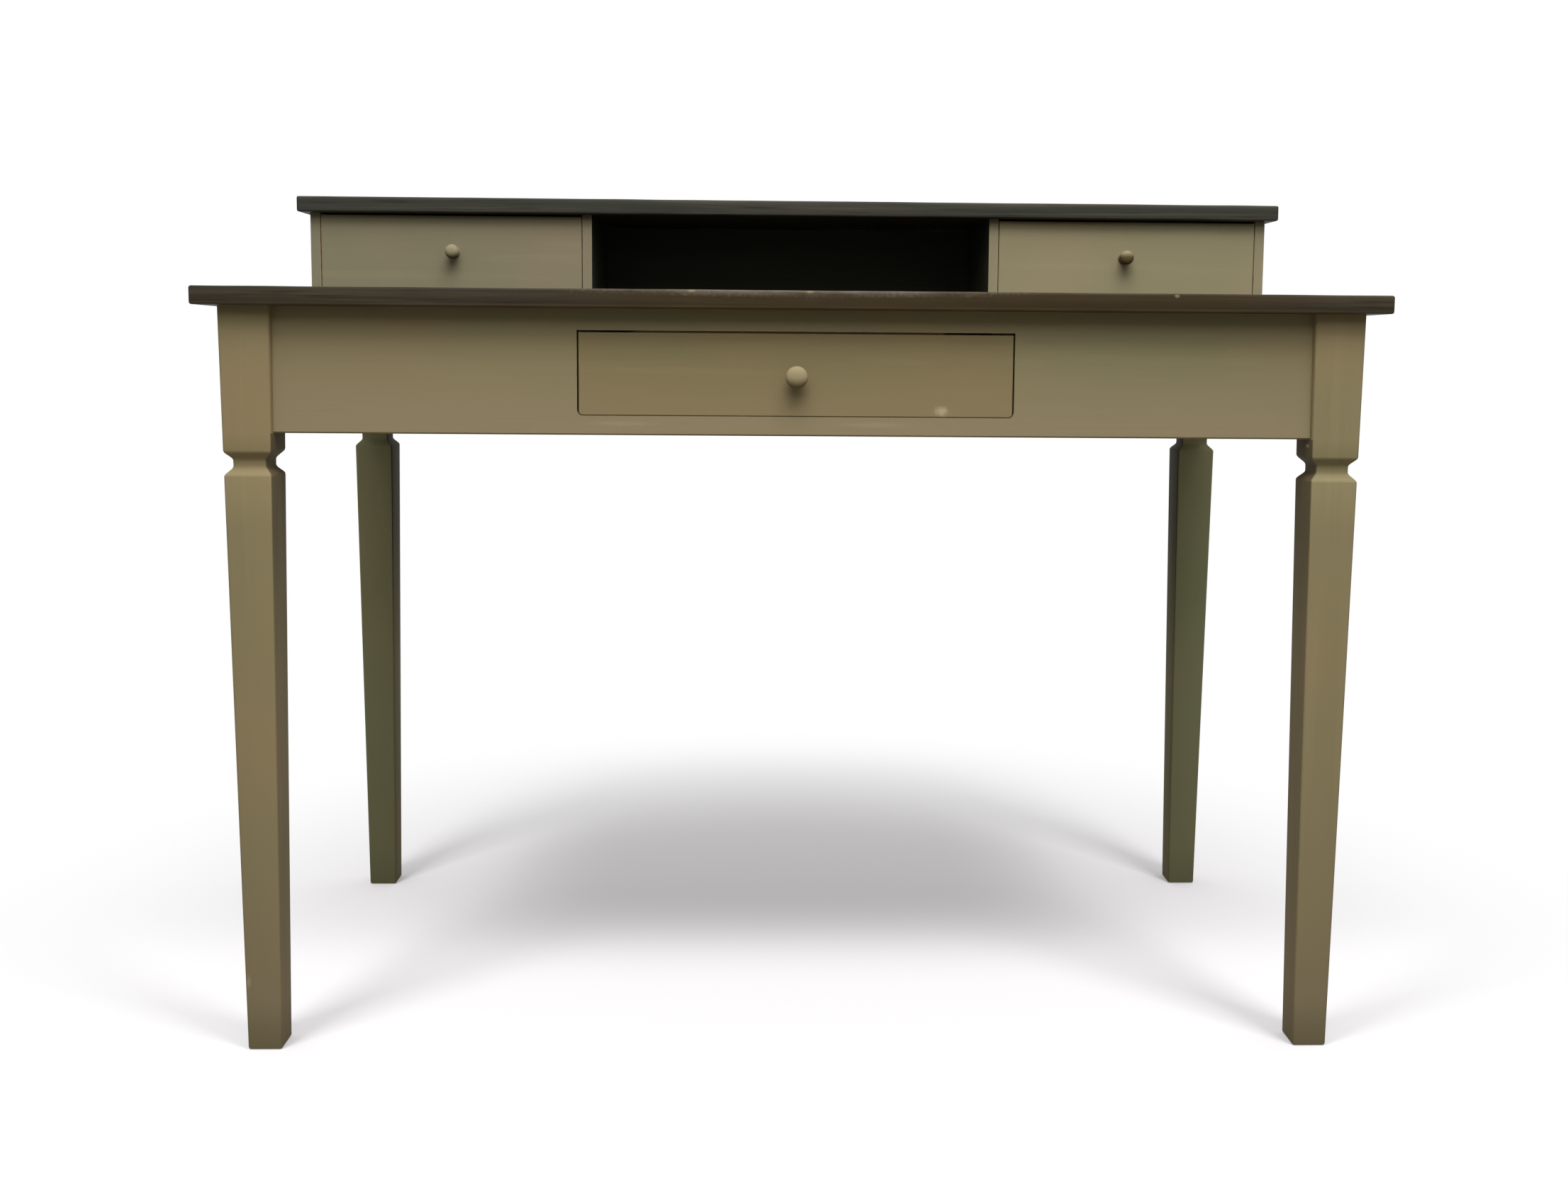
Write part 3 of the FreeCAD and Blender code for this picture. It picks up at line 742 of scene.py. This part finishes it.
def leg_sections(height, apron_bottom):
    """Heights and half widths up a leg, with the breaks at the neck slightly rounded."""
    foot = leg_half(0, height)
    foot_bend = LEG_FOOT_EASE * LEG_FOOT_BEND
    sections = [(0.0, foot - LEG_FOOT_EASE), (foot_bend, foot - foot_bend)]

    shaft_end = NECK_SHAFT_TOP - NECK_SOFT
    block_end = NECK_SHAFT_TOP + 2 * NECK_CHAMFER_HEIGHT + NECK_STRAIGHT
    levels = [block_end + NECK_SOFT, apron_bottom, height]
    for i in range(LEG_SHAFT_STEPS + 1):
        levels.append(LEG_FOOT_EASE + (shaft_end - LEG_FOOT_EASE) * i / LEG_SHAFT_STEPS)
    sections += [(z, leg_half(z, height)) for z in levels]

    bend = NECK_SOFT * NECK_BEND
    ease = NECK_SOFT * NECK_CHAMFER_DEPTH / NECK_CHAMFER_HEIGHT
    chamfer = (
        (0.0, bend),
        (NECK_SOFT, ease),
        (NECK_CHAMFER_HEIGHT - NECK_SOFT, NECK_CHAMFER_DEPTH - ease),
        (NECK_CHAMFER_HEIGHT, NECK_CHAMFER_DEPTH - bend),
        (NECK_CHAMFER_HEIGHT + NECK_SOFT, NECK_CHAMFER_DEPTH),
    )
    for start, sign in ((NECK_SHAFT_TOP, 1), (block_end, -1)):
        for rise, inset in chamfer:
            z = start + sign * rise
            sections.append((z, leg_half(z, height) - inset))
    return sorted(sections)


def build_legs():
    """Rounded legs, with painted shade on their inner sides and painted light on the rear legs'
    fronts.
    """
    apron_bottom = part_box("front_apron")[0].z
    for end in ("front", "rear"):
        for side in SIDES:
            node = f"leg_{end}_{side}"
            low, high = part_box(node)
            middle = (low + high) / 2
            rings = []
            for z, half in leg_sections(high.z, apron_bottom):
                rings.append(rounded_square(half, LEG_ROUND, Vector((middle.x, middle.y, z))))
            piece = show(node + "_rounded", loft(rings), paint_leg, node)
            # the inner sides take a paint with painted shade, the rear legs' fronts one with painted
            # light
            piece.data.materials.append(paint_leg_inner_shade[end])
            if end == "rear":
                piece.data.materials.append(paint_rear_leg_front_lit)
            inward = math.copysign(1, -middle.x)
            for face in piece.data.polygons:
                if face.center.z > apron_bottom:
                    continue
                if face.normal.x * inward > LEG_FACING:
                    face.material_index = 1
                elif end == "rear" and face.normal.y < -LEG_FACING:
                    face.material_index = 2


def settle_drawer():
    """The centre drawer's front, its face come down nearly to the rail below it."""
    node = "centre_drawer_front"
    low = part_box(node)[0]
    solid = nodes[node].data
    shape = bmesh.new()
    corners = [shape.verts.new(vert.co) for vert in solid.vertices]
    for polygon in solid.polygons:
        face = shape.faces.new([corners[i] for i in polygon.vertices])
        face.material_index = polygon.material_index
    bmesh.ops.remove_doubles(shape, verts=shape.verts, dist=WELD)
    for vert in shape.verts:
        share = 1 - (vert.co.z - low.z) / SETTLED_BAND
        if vert.co.y < low.y + SETTLED_SKIN and share > 0:
            vert.co.z -= SETTLED_DROP * share
    piece = show(node + "_settled", shape, paint_drawer["centre_drawer"], node)
    piece.data.materials.append(pine_along["x"])


def lathe(outline, base, axis, sides):
    """Rings of points round an axis from an outline of (radius, height)."""
    turn = Vector((0, 0, 1)).rotation_difference(axis).to_matrix()
    rings = []
    for radius, height in outline:
        ring = []
        for i in range(sides):
            angle = math.tau * i / sides
            point = Vector((radius * math.cos(angle), radius * math.sin(angle), height))
            ring.append(base + turn @ point)
        rings.append(ring)
    return rings


def knob_outline(radius, length):
    """Collar, flared neck and a full round head, from the drawer front outwards."""
    outline = []
    for inset, share in KNOB_COLLAR_PROFILE:
        collar = KNOB_COLLAR_RADIUS - KNOB_COLLAR_ROUND * inset
        outline.append((collar, KNOB_COLLAR_LENGTH * share))

    neck_length = length - KNOB_HEAD_LENGTH - KNOB_HEAD_SEAT - KNOB_COLLAR_LENGTH
    flare = (KNOB_COLLAR_RADIUS - KNOB_COLLAR_ROUND - KNOB_NECK_RADIUS) * KNOB_FLARE
    for i in range(1, KNOB_NECK_STEPS + 1):
        share = i / KNOB_NECK_STEPS
        turn = share * math.pi / 2
        neck = KNOB_NECK_RADIUS + flare * (1 - math.sin(turn)) * math.cos(turn)
        outline.append((neck, KNOB_COLLAR_LENGTH + neck_length * share))

    half = KNOB_HEAD_LENGTH / 2
    middle = length - half
    bulge = 2 / KNOB_HEAD_FULLNESS
    start = math.asin((KNOB_NECK_RADIUS / radius) ** (1 / bulge))
    for i in range(1, KNOB_HEAD_STEPS):
        angle = start + (math.pi - start) * i / KNOB_HEAD_STEPS
        reach = math.copysign(abs(math.cos(angle)) ** bulge, math.cos(angle))
        outline.append((radius * math.sin(angle) ** bulge, middle - half * reach))
    return outline


def build_knobs():
    """Smooth turned knobs, each with its own paint."""
    for drawer in DRAWERS:
        node = drawer + "_knob"
        low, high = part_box(node)
        middle = (low + high) / 2
        base = Vector((middle.x, high.y, middle.z))
        outline = knob_outline((high.x - low.x) / 2, high.y - low.y)
        shape = loft(lathe(outline, base, Vector((0, -1, 0)), KNOB_SIDES))
        radius = (high.z - low.z) / 2
        # painted shade: the knob's paint darker over its lower part
        start, full, colour = KNOB_PAINTED_SHADE[drawer]
        look = painted(
            "paint_" + node,
            "y",
            gloss=KNOB_GLOSS,
            handled=KNOB_HANDLED[drawer],
            tint=KNOB_TINT[drawer],
            painted_shading=(middle.z + start * radius, middle.z + full * radius, colour),
        )
        show(node + "_turned", shape, look, node)


def loose_boxes(node):
    """The box of each separate solid in a node."""
    shape = bmesh.new()
    shape.from_mesh(nodes[node].data)
    bmesh.ops.remove_doubles(shape, verts=shape.verts, dist=WELD)
    left = set(shape.verts)
    boxes = []
    while left:
        group = set()
        waiting = [next(iter(left))]
        while waiting:
            vert = waiting.pop()
            if vert in group:
                continue
            group.add(vert)
            waiting.extend(edge.other_vert(vert) for edge in vert.link_edges)
        left -= group
        low = Vector(min(v.co[i] for v in group) for i in range(3))
        high = Vector(max(v.co[i] for v in group) for i in range(3))
        boxes.append((low, high))
    shape.free()
    return sorted(boxes, key=lambda box: tuple(box[0]))


def screw_outline(length):
    """A pan head, a shank and a tip, from the head's end along the screw."""
    bend_radius, bend_height = SCREW_HEAD_BEND
    outline = [(SCREW_END_RADIUS, 0.0)]
    for i in range(1, SCREW_HEAD_RINGS):
        outline.append((SCREW_HEAD_RADIUS * i / SCREW_HEAD_RINGS, 0.0))
    return outline + [
        (SCREW_HEAD_RADIUS * bend_radius, SCREW_HEAD_ROUND * bend_height),
        (SCREW_HEAD_RADIUS, SCREW_HEAD_ROUND),
        (SCREW_HEAD_RADIUS, SCREW_HEAD_HEIGHT),
        (SCREW_SHANK_RADIUS, SCREW_HEAD_HEIGHT),
        (SCREW_SHANK_RADIUS, length - SCREW_TIP_LENGTH),
        (SCREW_END_RADIUS, length),
    ]


def add_screw(shape, head_end, axis, length):
    """Add a screw whose head's end is at a point, with a cross pressed into its head."""
    upright = Vector((0, 0, 1))
    turn = upright.rotation_difference(axis).to_matrix()
    placed = []
    rings = lathe(screw_outline(length), Vector((0, 0, 0)), upright, SCREW_SIDES)
    for level, ring in enumerate(rings):
        row = []
        for point in ring:
            across = min(abs(point.x), abs(point.y))
            if level < RECESS_RINGS and across < RECESS_HALF_WIDTH:
                point = point + upright * RECESS_DEPTH
            row.append(head_end + turn @ point)
        placed.append(row)
    loft(placed, shape)


def build_screws():
    """Screws up through blocks and desk top, and one from inside each drawer into its knob."""
    upward, forward = Vector((0, 0, 1)), Vector((0, -1, 0))
    rows = [("top_screws", upward), ("gallery_screws", upward)]
    rows += [(drawer + "_knob_screw", forward) for drawer in DRAWERS]
    for node, axis in rows:
        shape = bmesh.new()
        for low, high in loose_boxes(node):
            middle = (low + high) / 2
            length = abs((high - low).dot(axis))
            add_screw(shape, middle - axis * length / 2, axis, length)
        show(node + "_turned", shape, plated, node)


def build_camera():
    """The camera that was fitted to the photograph."""
    data = bpy.data.cameras.new("camera")
    data.sensor_width = SENSOR_WIDTH
    data.lens = CAMERA_FOCAL_PIXELS / PHOTO_WIDTH * SENSOR_WIDTH
    data.shift_x = CAMERA_SHIFT_PIXELS[0] / PHOTO_WIDTH
    data.shift_y = CAMERA_SHIFT_PIXELS[1] / PHOTO_WIDTH
    forward = Vector((
        math.sin(CAMERA_YAW) * math.cos(CAMERA_PITCH),
        math.cos(CAMERA_YAW) * math.cos(CAMERA_PITCH),
        math.sin(CAMERA_PITCH),
    ))
    level = Vector((math.cos(CAMERA_YAW), -math.sin(CAMERA_YAW), 0))
    tilt = Matrix.Rotation(-CAMERA_ROLL, 3, forward)
    right = tilt @ level
    up = tilt @ level.cross(forward)
    turn = Matrix((right, up, -forward)).transposed().to_4x4()
    camera = add_object("camera", data)
    camera.matrix_world = Matrix.Translation(CAMERA_PLACE) @ turn
    bpy.context.scene.camera = camera


def blend_shaders(tree, share, a, b):
    """A mix of two shaders, as a socket."""
    return add_node(tree, "ShaderNodeMixShader", {0: share, 1: a, 2: b}).outputs[0]


def seen_directly(tree):
    """1 for what the camera sees directly, in a mirror or through glass, else 0."""
    path = add_node(tree, "ShaderNodeLightPath").outputs
    seen = path["Is Camera Ray"]
    for name in ("Is Glossy Ray", "Is Transmission Ray"):
        larger = add_node(tree, "ShaderNodeMath", {0: seen, 1: path[name]}, operation="MAXIMUM")
        seen = larger.outputs[0]
    return seen


def build_world():
    """An overcast dome, brighter overhead, that shows as plain white."""
    world = bpy.data.worlds.new("soft_sky")
    bpy.context.scene.world = world
    world.use_nodes = True
    tree = world.node_tree
    tree.nodes.clear()
    place = add_node(tree, "ShaderNodeTexCoord").outputs["Generated"]
    height = add_node(tree, "ShaderNodeSeparateXYZ", {0: place}).outputs["Z"]
    rise = {"Value": height, "From Min": 0.0, "From Max": 1.0}
    rise.update({"To Min": SKY_HORIZON, "To Max": SKY_ZENITH})
    strength = add_node(tree, "ShaderNodeMapRange", rise).outputs[0]
    dome = add_node(tree, "ShaderNodeBackground", {"Color": WHITE, "Strength": strength})
    shown = add_node(tree, "ShaderNodeBackground", {"Color": WHITE})
    surface = blend_shaders(tree, seen_directly(tree), dome.outputs[0], shown.outputs[0])
    add_node(tree, "ShaderNodeOutputWorld", {0: surface})


def pale_floor():
    """Pale where the camera sees it, fading to plain white, and duller where it lights the desk."""
    material = bpy.data.materials.new("pale_floor")
    material.use_nodes = True
    tree = material.node_tree
    tree.nodes.clear()
    pale = add_node(tree, "ShaderNodeBsdfDiffuse", {"Color": (*FLOOR_PALE, 1.0)})
    dull = add_node(tree, "ShaderNodeBsdfDiffuse", {"Color": (*FLOOR_BOUNCE, 1.0)})
    white = add_node(tree, "ShaderNodeEmission")
    place = add_node(tree, "ShaderNodeTexCoord").outputs["Object"]
    away = add_node(tree, "ShaderNodeVectorMath", {0: place}, operation="LENGTH").outputs["Value"]
    fade = {"Value": away, "From Min": FLOOR_SHADED_TO, "From Max": FLOOR_WHITE_FROM}
    fade.update({"To Min": FLOOR_GLOW})
    whiteness = add_node(tree, "ShaderNodeMapRange", fade, interpolation_type="SMOOTHSTEP").outputs[0]
    shown = blend_shaders(tree, whiteness, pale.outputs[0], white.outputs[0])
    surface = blend_shaders(tree, seen_directly(tree), dull.outputs[0], shown)
    add_node(tree, "ShaderNodeOutputMaterial", {0: surface})
    return material


def build_floor():
    """A floor that keeps the desk's shadow and shows white where nothing shades it."""
    shape = bmesh.new()
    bmesh.ops.create_grid(shape, x_segments=FLOOR_CELLS, y_segments=FLOOR_CELLS, size=FLOOR_REACH)
    mesh = bpy.data.meshes.new("floor")
    shape.to_mesh(mesh)
    shape.free()
    mesh.materials.append(pale_floor())
    floor = add_object("floor", mesh)
    floor.location.z = -FLOOR_DROP
    return floor


def add_lamp(name, place, size, watts, floor, floor_state):
    """A soft square lamp for the floor alone, or for everything but the floor."""
    data = bpy.data.lights.new(name, "AREA")
    data.size = size
    data.energy = watts
    lamp = add_object(name, data)
    lamp.location = place
    lamp.rotation_mode = "QUATERNION"
    lamp.rotation_quaternion = (LAMP_TARGET - place).to_track_quat("-Z", "Y")
    receivers = bpy.data.collections.new(name + "_receivers")
    receivers.objects.link(floor)
    receivers.collection_objects[0].light_linking.link_state = floor_state
    lamp.light_linking.receiver_collection = receivers


def build_lamps(floor):
    """Lamps for the desk, and a pair for the floor, where the shadows of the legs cross."""
    add_lamp("key_lamp", KEY_PLACE, KEY_SIZE, KEY_WATTS, floor, "EXCLUDE")
    add_lamp("fill_lamp", FILL_PLACE, FILL_SIZE, FILL_WATTS, floor, "EXCLUDE")
    for side, place in FLOOR_LAMP_PLACES.items():
        add_lamp("floor_lamp_" + side, place, FLOOR_LAMP_SIZE, FLOOR_LAMP_WATTS, floor, "INCLUDE")


dress_solids()
build_tops()
build_legs()
settle_drawer()
build_knobs()
build_screws()
build_camera()
build_world()
build_lamps(build_floor())
bpy.context.scene.view_settings.view_transform = "Standard"
